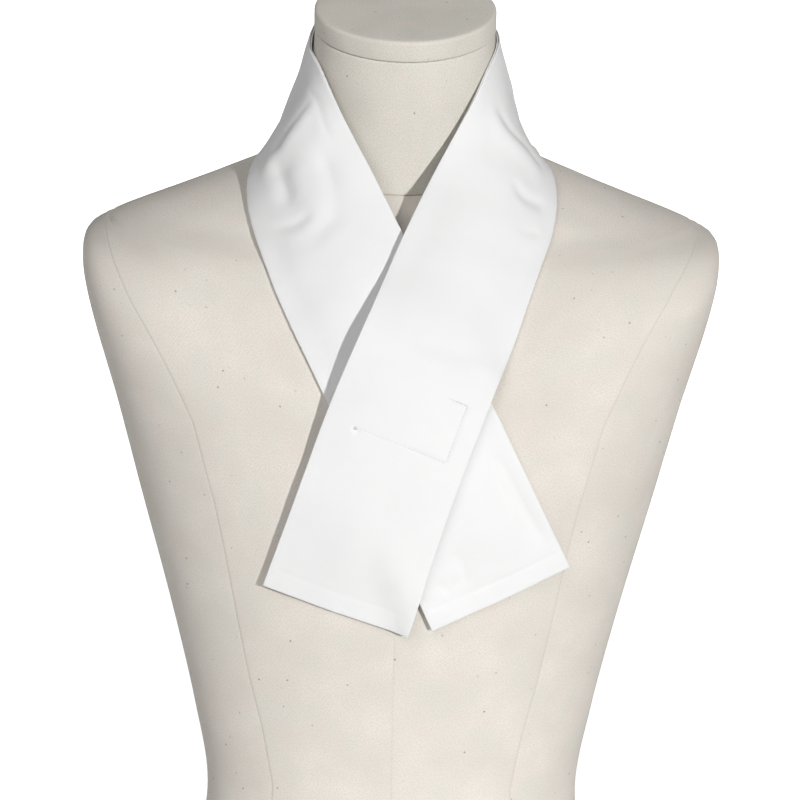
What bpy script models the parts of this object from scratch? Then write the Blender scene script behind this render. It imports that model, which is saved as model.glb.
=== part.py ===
"""Detachable collar on a dress form.

A straight double band of white cotton runs round the back of the neck, comes down over both shoulders
and crosses on the chest. It rests on a smooth linen covered form that stands on its own flat base.
Metres, +Z up. The form faces -Y, and the origin is the middle of the base.
"""
import math

import bpy
from mathutils import Vector
from mathutils.bvhtree import BVHTree

MM = 0.001

# The tables below are in mm from the shoulder line, which lies this far behind the middle of the base
SHOULDER_LINE_Y = 10.5

# The form, a row for each section from the base up. A section drops towards the front near the neck,
# so its height is given at the side, the front and the back.
# side_z, front_z, back_z, half_width, front_y, back_y, squareness
TORSO_SECTIONS = (
    (0, 0, 0, 155, -94, 99, 2.4),
    (50, 50, 50, 142, -91, 92, 2.4),
    (100, 100, 100, 120, -86, 74, 2.15),
    (141, 141, 141, 113, -82, 68, 2.0),
    (190, 190, 190, 121, -90, 70, 2.0),
    (253, 253, 253, 136, -103, 78, 2.05),
    (327, 327, 327, 156.6, -111, 91, 2.2),
    (377, 375, 377, 170.2, -107, 98, 2.6),
    (426, 415, 426, 184.5, -95, 100, 3.2),
    (455, 437, 456, 191, -85, 98, 3.6),
    (470, 451, 470, 192.5, -78, 96, 3.5),
    (479, 460, 480, 191, -73, 94, 3.1),
    (485, 466, 487, 183, -69, 92.5, 2.7),
    (492.7, 473, 496.2, 167, -65, 90, 2.2),
    (503, 482, 507.5, 139, -61, 86, 2.15),
    (513, 490.5, 519.5, 112, -57, 80, 2.1),
    (522.5, 497.5, 532, 86, -52, 72, 2.05),
    (530, 503, 544, 69, -47, 60, 2.0),
)
NECK_SECTIONS = (
    (530, 503, 544, 69, -47, 60, 2.0),
    (544, 518, 560, 61, -49, 54, 2.0),
    (565, 541, 583, 57, -53, 48, 2.0),
    (585, 562, 605, 55.2, -58, 42, 2.0),
    (602.4, 581.4, 623.4, 54, -62, 37.5, 2.0),
)
FORM_SIDES = 56
LEVEL_STEP = 24.0
SEAM_GAP = 0.3
SHARP_ANGLE = math.radians(50)

CAP_RADIUS = 54.6
CAP_THICK = 12.6
CAP_TILT = math.radians(23)
CAP_MIDDLE = Vector((0, -14.6, 609.0))
CAP_ROUNDING = 1.6

# The band as it lies, a row for each station out from the middle of the back: the length along it,
# its inner edge (against the neck), its outer edge, and how far it bows out between the two.
# along, inner_x, inner_y, inner_z, outer_x, outer_y, outer_z, bow
BACK_MIDDLE = (0, 0, 45, 616, 0, 77, 531, 1)
UNDER_END_STATIONS = (
    (30, -31, 39, 614, -31, 73, 529, 1),
    (60, -51, 19, 609.5, -58, 60, 528, 1),
    (90, -58.3, -7, 593.5, -76, 38, 525, 1),
    (120, -52.5, -29, 582.5, -83, 13, 526, 0.5),
    (145, -45.5, -44, 569, -91, -11, 519, 1),
    (170, -34.5, -54, 547, -92, -33, 501, 4),
    (200, -20, -62, 521.5, -87, -54, 481, 8),
    (245, 0, -76, 484, -73, -80, 447, 8),
    (305, 28, -97, 434, -47, -101, 397, 6),
    (365, 56, -107, 383, -21, -111, 345, 4),
    (415, 78, -106, 339, 0, -112, 300, 3),
    (470, 102, -91, 290, 22, -106, 253, 2),
)
OVER_END_STATIONS = (
    (30, 30, 39, 614, 30, 73, 528, 1),
    (60, 48, 20, 609, 55, 60, 523, 1),
    (90, 55.8, -6, 600, 73, 38, 524, 0.7),
    (120, 52.3, -29, 585.5, 79.5, 14, 525, 0),
    (145, 44.5, -43, 568, 90, -10, 519, -2),
    (170, 33.5, -50, 546, 92, -31, 502, 3),
    (200, 20, -60, 520.5, 89, -53, 481, 7),
    (250, 0.4, -82, 480, 75, -80, 443, 7),
    (280, -11, -102, 453, 66, -94, 418, 6),
    (310, -22, -117, 428.5, 56, -106, 395, 5),
    (362, -40, -116, 384, 39.5, -116, 351, 4),
    (415, -58, -114, 332, 23.5, -115, 303, 3),
    (471, -77, -99, 277, 8, -107, 250, 2),
)
BAND_WIDTH = 88.0
BAND_LENGTH_STEPS = 96
BAND_WIDTH_STEPS = 8
CLOTH_THICK = 1.0
PLY_GAP = 0.3
REST_GAP = 0.45
FORM_REACH = 60.0
TOUCH_SOFTNESS = 1.0
EASE_PASSES = 2

# The upper end stands off the lower one by both plies and both pads, and no further than it must
UNDER_SHARE = 0.32
CROSSING_GAP = 5.3
CROSSING_REACH = 16.0

# The largest folds in the cloth, a row for each, in mm: its middle along and across the band, its heading
# in degrees from the band's length towards the outer edge, its length, half its width, and its height,
# which is negative for a trough.
# along, across, heading, length, half_width, height
FOLDS = (
    (-158, 35, 88, 80, 15, 2.4),
    (-192, 55, 5, 60, 12, -2.0),
    (-205, 22, -8, 70, 13, -1.6),
    (-178, 72, 70, 40, 12, 1.4),
    (-96, 52, 70, 70, 14, 1.6),
    (-34, 46, 82, 75, 15, -1.8),
    (26, 40, 96, 80, 16, 1.6),
    (84, 56, 110, 60, 14, -1.6),
    (154, 42, 80, 80, 15, 2.2),
    (186, 66, 60, 45, 12, -1.8),
    (298, 58, 105, 75, 16, -1.8),
    (240, 30, 20, 70, 15, 1.4),
    (-340, 60, 10, 80, 15, -1.2),
    (-415, 14, 3, 100, 12, -1.3),
    (425, 50, 95, 60, 15, 1.2),
)

# The fastening pads between the crossed ends, placed on the upper end by the stitching that shows
PAD_ALONG = (328.0, 365.0)
PAD_ACROSS = (20.5, 75.5)
PAD_THICK = 1.2
PAD_GAP = 0.4
PAD_STEPS = (7, 4)


def section_loop(row):
    """Points of one section of the form, counter-clockwise seen from above, from the +X side."""
    side_z, front_z, back_z, half_width, front_y, back_y, squareness = row
    middle_y = (front_y + back_y) / 2
    depth = (back_y - front_y) / 2
    slope = (back_z - front_z) / 2
    dish = (back_z + front_z) / 2 - side_z
    power = 2 / squareness
    points = []
    for step in range(FORM_SIDES):
        turn = 2 * math.pi * step / FORM_SIDES
        x = half_width * math.copysign(abs(math.cos(turn)) ** power, math.cos(turn))
        part = math.copysign(abs(math.sin(turn)) ** power, math.sin(turn))
        points.append(Vector((x, middle_y + depth * part, side_z + slope * part + dish * part * part)))
    return points


def to_world(point):
    """A point of the tables, in metres from the middle of the base."""
    return (point + Vector((0, SHOULDER_LINE_Y, 0))) * MM


def material(name, colour, roughness):
    """A plain finish with the piece's own colour."""
    finish = bpy.data.materials.new(name)
    finish.use_nodes = True
    shader = finish.node_tree.nodes["Principled BSDF"]
    shader.inputs["Base Color"].default_value = (*colour, 1)
    shader.inputs["Roughness"].default_value = roughness
    shader.inputs["Metallic"].default_value = 0
    finish.diffuse_color = (*colour, 1)
    return finish


def add_mesh(name, points, faces, collection, finish):
    """A named object from points in mm and faces."""
    mesh = bpy.data.meshes.new(name)
    mesh.from_pydata([to_world(point) for point in points], [], faces)
    mesh.materials.append(finish)
    mesh.shade_smooth()
    piece = bpy.data.objects.new(name, mesh)
    collection.objects.link(piece)
    return piece


def smooth_sections(rows):
    """The table's sections with more between them, no further apart than the level step."""
    sections = []
    for low, high in zip(rows, rows[1:]):
        steps = max(1, round((high[0] - low[0]) / LEVEL_STEP))
        for step in range(steps):
            height = low[0] + (high[0] - low[0]) * step / steps
            sections.append((height, *smooth_row(rows, height)))
    return (*sections, rows[-1])


def loft_mesh(rows):
    """Points and faces of a solid through the sections, closed at both ends by a fan from the middle."""
    points = [point for row in rows for point in section_loop(row)]
    faces = []
    for level in range(len(rows) - 1):
        start = level * FORM_SIDES
        for step in range(FORM_SIDES):
            after = (step + 1) % FORM_SIDES
            faces.append((start + step, start + after, start + FORM_SIDES + after, start + FORM_SIDES + step))
    for row, start in ((rows[0], 0), (rows[-1], (len(rows) - 1) * FORM_SIDES)):
        side_z, front_z, back_z, half_width, front_y, back_y, squareness = row
        centre = len(points)
        points.append(Vector((0, (front_y + back_y) / 2, side_z)))
        for step in range(FORM_SIDES):
            after = (step + 1) % FORM_SIDES
            rim = (start + after, start + step) if start == 0 else (start + step, start + after)
            faces.append((*rim, centre))
    return points, faces


def loft_piece(name, points, faces, collection, finish):
    """A padded and covered piece of the form."""
    piece = add_mesh(name, points, faces, collection, finish)
    piece.data.set_sharp_from_angle(angle=SHARP_ANGLE)
    return piece


def raise_row(row, height):
    """The same section, moved up."""
    side_z, front_z, back_z, *rest = row
    return (side_z + height, front_z + height, back_z + height, *rest)


def torso_and_neck(collection, finish):
    """The torso and the neck that stands on it, and a search tree over the two."""
    torso_points, torso_faces = loft_mesh(smooth_sections(TORSO_SECTIONS))
    neck_points, neck_faces = loft_mesh((raise_row(NECK_SECTIONS[0], SEAM_GAP), *NECK_SECTIONS[1:]))
    loft_piece("form_torso", torso_points, torso_faces, collection, finish)
    loft_piece("form_neck", neck_points, neck_faces, collection, finish)
    count = len(torso_points)
    faces = torso_faces + [tuple(corner + count for corner in face) for face in neck_faces]
    return BVHTree.FromPolygons(torso_points + neck_points, faces)


def neck_cap(collection, finish):
    """The round covered plate on the neck, tilted towards the front."""
    bpy.ops.mesh.primitive_cylinder_add(vertices=FORM_SIDES, radius=CAP_RADIUS * MM, depth=CAP_THICK * MM)
    piece = bpy.context.object
    piece.name = "form_neck_cap"
    piece.data.name = piece.name
    piece.location = to_world(CAP_MIDDLE)
    piece.rotation_euler = (CAP_TILT, 0, 0)
    rounding = piece.modifiers.new("rounded_rims", "BEVEL")
    rounding.width = CAP_ROUNDING * MM
    rounding.segments = 2
    rounding.limit_method = "ANGLE"
    piece.data.materials.append(finish)
    piece.data.shade_smooth()
    for holder in list(piece.users_collection):
        holder.objects.unlink(piece)
    collection.objects.link(piece)
    return piece


def band_stations():
    """All rows of the band, from the end that lies under to the end that lies over."""
    under = [(-row[0], *row[1:]) for row in reversed(UNDER_END_STATIONS)]
    return [*under, BACK_MIDDLE, *OVER_END_STATIONS]


def smooth_row(rows, along):
    """The values of a table between its rows, on a smooth curve through them, by its first column."""
    last = len(rows) - 2
    place = max(0, min(last, sum(row[0] <= along for row in rows) - 1))
    before, low, high, after = (rows[max(0, min(len(rows) - 1, place + step))] for step in (-1, 0, 1, 2))
    span = high[0] - low[0]
    part = (along - low[0]) / span
    values = []
    for a, b, c, d in zip(before[1:], low[1:], high[1:], after[1:]):
        enter = (c - a) / (high[0] - before[0]) * span
        leave = (d - b) / (after[0] - low[0]) * span
        keep = 2 * part ** 3 - 3 * part ** 2 + 1
        values.append(keep * b + (1 - keep) * c + (part ** 3 - 2 * part ** 2 + part) * enter
                      + (part ** 3 - part ** 2) * leave)
    return values


def fold_height(along, across):
    """How far all folds together lift the cloth at a place on the band."""
    height = 0.0
    for fold_along, fold_across, heading, length, half_width, rise in FOLDS:
        turn = math.radians(heading)
        down, side = along - fold_along, across - fold_across
        run = (down * math.cos(turn) + side * math.sin(turn)) / (length / 2)
        beside = (side * math.cos(turn) - down * math.sin(turn)) / half_width
        height += rise * math.exp(-beside ** 2) * max(0.0, 1 - run ** 2) ** 2
    return height


def band_surface():
    """Rows of points on the middle of the band's thickness, inner edge first, as the stations lay it."""
    rows = band_stations()
    start, end = rows[0][0], rows[-1][0]
    grid = []
    for step in range(BAND_LENGTH_STEPS + 1):
        along = start + (end - start) * step / BAND_LENGTH_STEPS
        values = smooth_row(rows, along)
        inner, outer, bow = Vector(values[0:3]), Vector(values[3:6]), values[6]
        ahead = smooth_row(rows, min(end, along + 1))
        behind = smooth_row(rows, max(start, along - 1))
        run = Vector(ahead[0:3]) + Vector(ahead[3:6]) - Vector(behind[0:3]) - Vector(behind[3:6])
        out = run.cross(outer - inner).normalized()
        line = []
        for place in range(BAND_WIDTH_STEPS + 1):
            part = place / BAND_WIDTH_STEPS
            rise = bow * math.sin(math.pi * part) + fold_height(along, part * BAND_WIDTH)
            line.append(inner.lerp(outer, part) + out * rise)
        grid.append(line)
    return grid


def grid_faces(rows, columns):
    """Quads over a grid of points, facing out of the band."""
    faces = []
    for row in range(rows - 1):
        for column in range(columns - 1):
            start = row * columns + column
            faces.append((start, start + columns, start + columns + 1, start + 1))
    return faces


def clear_of(point, tree, gap, reach):
    """The point moved out of a surface until it stands off by the gap, faded out beside the surface."""
    nearest, normal, _, _ = tree.find_nearest(point)
    away = point - nearest
    height = away.dot(normal)
    beside = (away - normal * height).length
    wanted = gap * max(0.0, 1 - (beside / reach) ** 2)
    if wanted == 0:
        return point
    blend = (height + wanted + math.hypot(height - wanted, TOUCH_SOFTNESS)) / 2
    return nearest + (away - normal * height) + normal * blend


def settled(grid, trunk):
    """The surface moved clear of the form all over, and its upper end clear of the end below it."""
    clearance = REST_GAP + CLOTH_THICK + PLY_GAP / 2
    rows = [[clear_of(point, trunk, clearance, FORM_REACH) for point in line] for line in grid]
    columns = len(rows[0])
    crossing = round(len(rows) * UNDER_SHARE)
    below = [point for line in rows[:crossing] for point in line]
    under = BVHTree.FromPolygons(below, grid_faces(crossing, columns))
    for line in rows[-crossing:]:
        line[:] = [clear_of(point, under, CROSSING_GAP, CROSSING_REACH) for point in line]
    return rows


def eased(grid):
    """The surface with its points drawn towards their neighbours along the band, ends kept."""
    for _ in range(EASE_PASSES):
        middle = [[(a + b * 2 + c) / 4 for a, b, c in zip(*lines)] for lines in zip(grid, grid[1:], grid[2:])]
        grid = [grid[0], *middle, grid[-1]]
    return grid


def point_normals(points, faces):
    """The outward direction at each point of a surface."""
    normals = [Vector() for _ in points]
    for face in faces:
        a, b, c, d = (points[corner] for corner in face)
        area = (c - a).cross(d - b)
        for corner in face:
            normals[corner] += area
    return [normal.normalized() for normal in normals]


def moved_out(grid, distance):
    """The same grid, moved out along its own normals."""
    columns = len(grid[0])
    points = [point for line in grid for point in line]
    normals = point_normals(points, grid_faces(len(grid), columns))
    moved = [point + normal * distance for point, normal in zip(points, normals)]
    return [moved[start:start + columns] for start in range(0, len(moved), columns)]


def sheet(name, grid, thickness, collection, finish):
    """A wall on a grid of points: outwards for a positive thickness, inwards for a negative one."""
    points = [point for line in grid for point in line]
    piece = add_mesh(name, points, grid_faces(len(grid), len(grid[0])), collection, finish)
    wall = piece.modifiers.new("wall", "SOLIDIFY")
    wall.thickness = abs(thickness) * MM
    wall.offset = math.copysign(1, thickness)
    wall.use_even_offset = True
    return piece


def patch(grid, along_range, across_range):
    """A smaller grid on the band's surface, between two lengths along it and two distances across."""
    first, last = band_stations()[0][0], band_stations()[-1][0]
    rows, columns = PAD_STEPS
    points = []
    for row in range(rows + 1):
        along = along_range[0] + (along_range[1] - along_range[0]) * row / rows
        line = []
        for column in range(columns + 1):
            across = across_range[0] + (across_range[1] - across_range[0]) * column / columns
            down = (along - first) / (last - first) * (len(grid) - 1)
            side = across / BAND_WIDTH * (len(grid[0]) - 1)
            i, j = int(down), int(side)
            near = grid[i][j].lerp(grid[i][j + 1], side - j)
            far = grid[i + 1][j].lerp(grid[i + 1][j + 1], side - j)
            line.append(near.lerp(far, down - i))
        points.append(line)
    return points


def band(grid, collection, finish):
    """The two plies of the band, a gap apart, each on its own side of the middle surface."""
    face = moved_out(grid, PLY_GAP / 2)
    facing = moved_out(grid, -PLY_GAP / 2)
    sheet("collar_face", face, CLOTH_THICK, collection, finish)
    sheet("collar_facing", facing, -CLOTH_THICK, collection, finish)


def pads(grid, collection, finish):
    """The hook pad behind the upper end and the loop pad it meets on the lower end."""
    back = patch(grid, PAD_ALONG, PAD_ACROSS)
    hook_top = PLY_GAP / 2 + CLOTH_THICK + PAD_GAP
    loop_top = hook_top + PAD_THICK + PLY_GAP
    sheet("hook_pad", moved_out(back, -hook_top), -PAD_THICK, collection, finish)
    sheet("loop_pad", moved_out(back, -loop_top), -PAD_THICK, collection, finish)


def main():
    """Build the form, then lay the band on it."""
    for thing in list(bpy.data.objects):
        bpy.data.objects.remove(thing, do_unlink=True)
    parts = bpy.data.collections.new("collar_on_dress_form")
    bpy.context.scene.collection.children.link(parts)
    linen = material("linen_cover", (0.70, 0.64, 0.57), 0.9)
    cotton = material("white_cotton", (0.90, 0.90, 0.90), 0.8)
    tape = material("white_hook_tape", (0.82, 0.82, 0.82), 0.7)
    trunk = torso_and_neck(parts, linen)
    neck_cap(parts, linen)
    grid = settled(eased(settled(band_surface(), trunk)), trunk)
    band(grid, parts, cotton)
    pads(grid, parts, tape)


if __name__ == "__main__":
    main()
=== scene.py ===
"""The looks of a detachable collar that lies crossed on a linen covered dress form.

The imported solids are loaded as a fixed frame, and finer pieces stand for them: the two plies of the
collar's band, the fastening between its crossed ends, and the form with its sewn panels. The tables are
in mm from the shoulder line; finished meshes are in metres, +Z up, in the frame's own place.
"""
from __future__ import annotations

import logging
import math
from dataclasses import dataclass, field
from enum import Enum
from typing import Callable

import bpy
import numpy as np
from mathutils import Matrix, Vector
from mathutils.bvhtree import BVHTree


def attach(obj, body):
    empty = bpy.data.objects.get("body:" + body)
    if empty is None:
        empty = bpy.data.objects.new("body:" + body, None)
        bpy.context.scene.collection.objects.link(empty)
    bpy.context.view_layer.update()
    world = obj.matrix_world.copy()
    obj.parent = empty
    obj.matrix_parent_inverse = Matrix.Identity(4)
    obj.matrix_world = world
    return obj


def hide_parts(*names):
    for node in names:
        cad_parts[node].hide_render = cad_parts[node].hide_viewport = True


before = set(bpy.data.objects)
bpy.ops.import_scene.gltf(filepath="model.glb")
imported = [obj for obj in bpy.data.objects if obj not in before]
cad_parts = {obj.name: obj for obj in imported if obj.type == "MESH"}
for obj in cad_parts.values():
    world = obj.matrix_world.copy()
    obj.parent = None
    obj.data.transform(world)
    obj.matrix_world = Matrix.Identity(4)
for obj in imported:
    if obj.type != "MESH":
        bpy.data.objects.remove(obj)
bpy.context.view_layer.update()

LOG = logging.getLogger("collar")
MM = 0.001
CENTIMETRE = 0.01
SHOULDER_LINE_Y = 10.5
# How much painted shade darkens each point of a seam line, standing for the shade in its groove.
PAINTED_SEAM_SHADE = "painted_seam_shade"
TINY = 1e-9
JOIN_REACH = 1e-6
RIM_ANGLE = math.radians(50)
WALL_RIM_ANGLE = math.radians(55)
ENDWAYS = 0.5


def to_frame(points: np.ndarray) -> np.ndarray:
    """Table points, in mm from the shoulder line, as metres in the frame."""
    return (points + np.array((0.0, SHOULDER_LINE_Y, 0.0))) * MM


def to_table(points: np.ndarray) -> np.ndarray:
    """Frame points, in metres, as mm from the shoulder line."""
    return points / MM - np.array((0.0, SHOULDER_LINE_Y, 0.0))


def deselect_all() -> None:
    """Leave nothing selected, so that an operator acts on the new piece alone."""
    if bpy.context.mode != "OBJECT":
        bpy.ops.object.mode_set(mode="OBJECT")
    bpy.ops.object.select_all(action="DESELECT")


def make_active(piece: bpy.types.Object) -> None:
    """Select one piece and make it the active one."""
    deselect_all()
    piece.select_set(True)
    bpy.context.view_layer.objects.active = piece


def pick(piece: bpy.types.Object, kind: str, wanted: Callable[[object], bool]) -> None:
    """Select the wanted faces or edges of a piece, and leave it in edit mode.

    Args:
        piece: The piece, in object mode.
        kind: FACE or EDGE.
        wanted: Says of each face or edge whether it is selected.
    """
    make_active(piece)
    bpy.ops.object.mode_set(mode="EDIT")
    bpy.ops.mesh.select_mode(type=kind)
    bpy.ops.mesh.select_all(action="DESELECT")
    bpy.ops.object.mode_set(mode="OBJECT")
    for part in piece.data.polygons if kind == "FACE" else piece.data.edges:
        part.select = wanted(part)
    bpy.ops.object.mode_set(mode="EDIT")


def apply_modifier(piece: bpy.types.Object, kind: str, **settings: object) -> None:
    """Add a modifier to a piece and apply it.

    Args:
        piece: The object to finish.
        kind: Blender's name for the modifier.
        settings: The modifier's own properties.
    """
    make_active(piece)
    modifier = piece.modifiers.new(kind.lower(), kind)
    for key, value in settings.items():
        setattr(modifier, key, value)
    bpy.ops.object.modifier_apply(modifier=modifier.name)


def smooth_row(rows: tuple, place: float) -> np.ndarray:
    """The values of a table between its rows, on a smooth curve through them.

    Args:
        rows: A table sorted by its first column.
        place: A value of the first column.

    Returns:
        The other columns' values there.
    """
    last = len(rows) - 2
    at = max(0, min(last, sum(row[0] <= place for row in rows) - 1))
    before, low, high, after = (
        np.array(rows[max(0, min(len(rows) - 1, at + step))], float) for step in (-1, 0, 1, 2)
    )
    span = high[0] - low[0]
    part = (place - low[0]) / span
    enter = (high - before) / (high[0] - before[0]) * span
    leave = (after - low) / (after[0] - low[0]) * span
    keep = 2 * part**3 - 3 * part**2 + 1
    values = keep * low + (1 - keep) * high
    values += (part**3 - 2 * part**2 + part) * enter + (part**3 - part**2) * leave
    return values[1:]


def surface_normals(points: np.ndarray, closed: bool = False) -> np.ndarray:
    """The outward direction at each point of a grid.

    Args:
        points: Rows of points; the first index runs up or across, the second round or along.
        closed: Whether the second direction runs round to where it starts.

    Returns:
        A unit vector for each point.
    """
    up = np.gradient(points, axis=0)
    if closed:
        ring = points[:, :-1]
        turn = np.roll(ring, -1, axis=1) - np.roll(ring, 1, axis=1)
        turn = np.concatenate((turn, turn[:, :1]), axis=1)
    else:
        turn = np.gradient(points, axis=1)
    normals = np.cross(turn, up)
    return normals / np.maximum(np.linalg.norm(normals, axis=2, keepdims=True), TINY)


def grid_piece(name: str, points: np.ndarray, uv: np.ndarray | None = None) -> bpy.types.Object:
    """A grid primitive whose points are laid at the given places.

    Args:
        name: The piece's name.
        points: Places in mm, the first index up or across, the second round or along.
        uv: The piece's own flat coordinates in metres at each point, if they are known.

    Returns:
        The new object, with its place in its mesh.
    """
    rows, columns = points.shape[:2]
    deselect_all()
    bpy.ops.mesh.primitive_grid_add(x_subdivisions=columns - 1, y_subdivisions=rows - 1, size=1)
    piece = bpy.context.object
    piece.name = piece.data.name = name
    mesh = piece.data
    mesh.vertices.foreach_set("co", to_frame(points.reshape(-1, 3)).astype(np.float32).ravel())
    if uv is not None:
        corners = np.zeros(len(mesh.loops), np.int32)
        mesh.loops.foreach_get("vertex_index", corners)
        flat = uv.reshape(-1, 2)[corners].astype(np.float32)
        mesh.uv_layers.active.data.foreach_set("uv", flat.ravel())
    mesh.update()
    return piece


def shell_piece(name: str, outer: np.ndarray, inner: np.ndarray, uv: np.ndarray,
                rim_round: float) -> bpy.types.Object:
    """A thin closed shell between two grids, with rounded rims.

    Args:
        name: The piece's name.
        outer: The side that the surface's normals point to, in mm.
        inner: The other side, in mm.
        uv: The flat coordinates in metres.
        rim_round: How far the rims are rounded, in mm.

    Returns:
        The finished shell.
    """
    piece = grid_piece(name, outer, uv)
    count = outer.shape[0] * outer.shape[1]
    apply_modifier(piece, "SOLIDIFY", thickness=MM, offset=-1.0, use_rim=True)
    places = np.concatenate((outer.reshape(-1, 3), inner.reshape(-1, 3)))
    if len(piece.data.vertices) != 2 * count:
        raise ValueError(f"{name}: the wall has {len(piece.data.vertices)} points, not {2 * count}")
    piece.data.vertices.foreach_set("co", to_frame(places).astype(np.float32).ravel())
    piece.data.update()
    apply_modifier(piece, "BEVEL", width=rim_round * MM, segments=3, limit_method="ANGLE",
                   angle_limit=WALL_RIM_ANGLE, use_clamp_overlap=True)
    piece.data.shade_smooth()
    return piece


def tree_of(*pieces: bpy.types.Object) -> BVHTree:
    """A search tree over pieces, in the tables' mm."""
    points: list[Vector] = []
    faces: list[tuple[int, ...]] = []
    for piece in pieces:
        start = len(points)
        count = len(piece.data.vertices)
        places = np.zeros(count * 3)
        piece.data.vertices.foreach_get("co", places)
        points += [Vector(place) for place in to_table(places.reshape(-1, 3))]
        faces += [tuple(start + corner for corner in face.vertices) for face in piece.data.polygons]
    return BVHTree.FromPolygons(points, faces)


def settle(piece: bpy.types.Object, node_names: tuple[str, ...], slot: str,
           material: bpy.types.Material) -> None:
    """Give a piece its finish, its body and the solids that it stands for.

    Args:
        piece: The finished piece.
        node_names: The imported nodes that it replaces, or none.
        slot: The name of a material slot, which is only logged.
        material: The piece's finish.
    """
    piece.data.materials.clear()
    piece.data.materials.append(material)
    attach(piece, "root")
    if node_names:
        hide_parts(*node_names)
    LOG.info("%s: %d faces, %s", piece.name, len(piece.data.polygons), slot)


class Graph:
    """A material's nodes, made and joined in short calls."""

    def __init__(self, name: str) -> None:
        """Start a material of this name with its shader."""
        self.material = bpy.data.materials.new(name)
        self.material.use_nodes = True
        self.tree = self.material.node_tree
        self.shader = self.tree.nodes["Principled BSDF"]

    def node(self, kind: str, inputs: dict | None = None, **settings: object) -> bpy.types.Node:
        """Add a node.

        Args:
            kind: The node's class name without its prefix.
            inputs: Socket names or numbers, with a plain value or another node's output.
            settings: The node's own properties.

        Returns:
            The new node.
        """
        made = self.tree.nodes.new(kind)
        for key, value in settings.items():
            setattr(made, key, value)
        for key, value in (inputs or {}).items():
            self.feed(made.inputs[key], value)
        return made

    def feed(self, socket: bpy.types.NodeSocket, value: object) -> None:
        """Set a socket to a value, or join it to another node's output."""
        if isinstance(value, bpy.types.NodeSocket):
            self.tree.links.new(value, socket)
        else:
            socket.default_value = value

    def maths(self, operation: str, *values: object) -> bpy.types.NodeSocket:
        """A Math node's result."""
        made = self.node("ShaderNodeMath", operation=operation)
        for socket, value in zip(made.inputs, values):
            self.feed(socket, value)
        return made.outputs[0]

    def blend(self, share: object, first: object, second: object) -> bpy.types.NodeSocket:
        """A colour between two others, by a share."""
        made = self.node("ShaderNodeMix", data_type="RGBA")
        for socket, value in zip((made.inputs[0], made.inputs[6], made.inputs[7]), (share, first, second)):
            self.feed(socket, value)
        return made.outputs[2]

    def noise(self, where: object, size: float, detail: float = 2.0) -> bpy.types.NodeSocket:
        """Noise with features of about a size in metres."""
        made = self.node("ShaderNodeTexNoise", {"Vector": where, "Scale": 1 / size, "Detail": detail})
        return made.outputs["Fac"]

    def spread(self, value: object, low: float, high: float, start: float = 0.0,
               end: float = 1.0) -> bpy.types.NodeSocket:
        """A value moved from one range to another and kept inside it."""
        made = self.node("ShaderNodeMapRange", {"Value": value, "From Min": low, "From Max": high,
                                                "To Min": start, "To Max": end})
        return made.outputs[0]

    def threads(self, where: object, pitch: float, direction: str) -> bpy.types.NodeSocket:
        """Round threads side by side.

        Args:
            where: Flat coordinates in metres.
            pitch: The distance from thread to thread, in metres.
            direction: The axis that they lie across, X or Y.

        Returns:
            A height from 0 to 1.
        """
        scale = 2 * math.pi / (20 * pitch)
        made = self.node("ShaderNodeTexWave", {"Vector": where, "Scale": scale, "Distortion": 0.0},
                         wave_type="BANDS", bands_direction=direction, wave_profile="SIN")
        return made.outputs["Fac"]

    def turned(self, where: object, degrees: float, scale: tuple = (1, 1, 1)) -> bpy.types.NodeSocket:
        """Coordinates turned in their plane and stretched."""
        made = self.node("ShaderNodeMapping", {"Vector": where, "Rotation": (0, 0, math.radians(degrees)),
                                               "Scale": scale})
        return made.outputs[0]

    def flat(self) -> bpy.types.NodeSocket:
        """The piece's own flat coordinates, in metres."""
        return self.node("ShaderNodeTexCoord").outputs["UV"]

    def uneven_roughness(self, value: object, middle: float, swing: float) -> None:
        """Roughness that swings about its middle with a value."""
        rough = self.spread(value, 0.3, 0.7, middle - swing, middle + swing)
        self.feed(self.shader.inputs["Roughness"], rough)

    def bump(self, height: object, depth: float, strength: float) -> None:
        """Raise the surface by a height of this depth in metres."""
        made = self.node("ShaderNodeBump", {"Height": height, "Distance": depth, "Strength": strength})
        self.feed(self.shader.inputs["Normal"], made.outputs[0])


@dataclass(frozen=True)
class CottonFinish:
    """Smooth white shirting cotton in a close plain weave."""

    name: str = "white_shirting"
    light: tuple = (0.880, 0.880, 0.876, 1)
    dull: tuple = (0.822, 0.823, 0.826, 1)
    pitch: float = 0.00042
    cloud: float = 0.055
    slub: float = 0.0011
    weave_depth: float = 0.00006
    roughness: float = 0.82
    roughness_swing: float = 0.05
    sheen: float = 0.06

    def material(self) -> bpy.types.Material:
        """The cotton's material, woven along the piece's own flat coordinates."""
        graph = Graph(self.name)
        flat = graph.flat()
        cloudy = graph.noise(flat, self.cloud, 3)
        slub = graph.noise(graph.turned(flat, 0, (0.08, 1, 1)), self.slub, 2)
        warp = graph.threads(flat, self.pitch, "X")
        weft = graph.threads(flat, self.pitch, "Y")
        weave = graph.maths("MULTIPLY", warp, weft)
        share = graph.maths("MULTIPLY_ADD", slub, 0.35, graph.spread(cloudy, 0.35, 0.75, 0.0, 0.45))
        colour = graph.blend(share, self.light, self.dull)
        graph.feed(graph.shader.inputs["Base Color"], colour)
        height = graph.maths("MULTIPLY_ADD", slub, 0.5, weave)
        graph.bump(height, self.weave_depth, 0.35)
        graph.uneven_roughness(slub, self.roughness, self.roughness_swing)
        graph.shader.inputs["Sheen Weight"].default_value = self.sheen
        return graph.material


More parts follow.
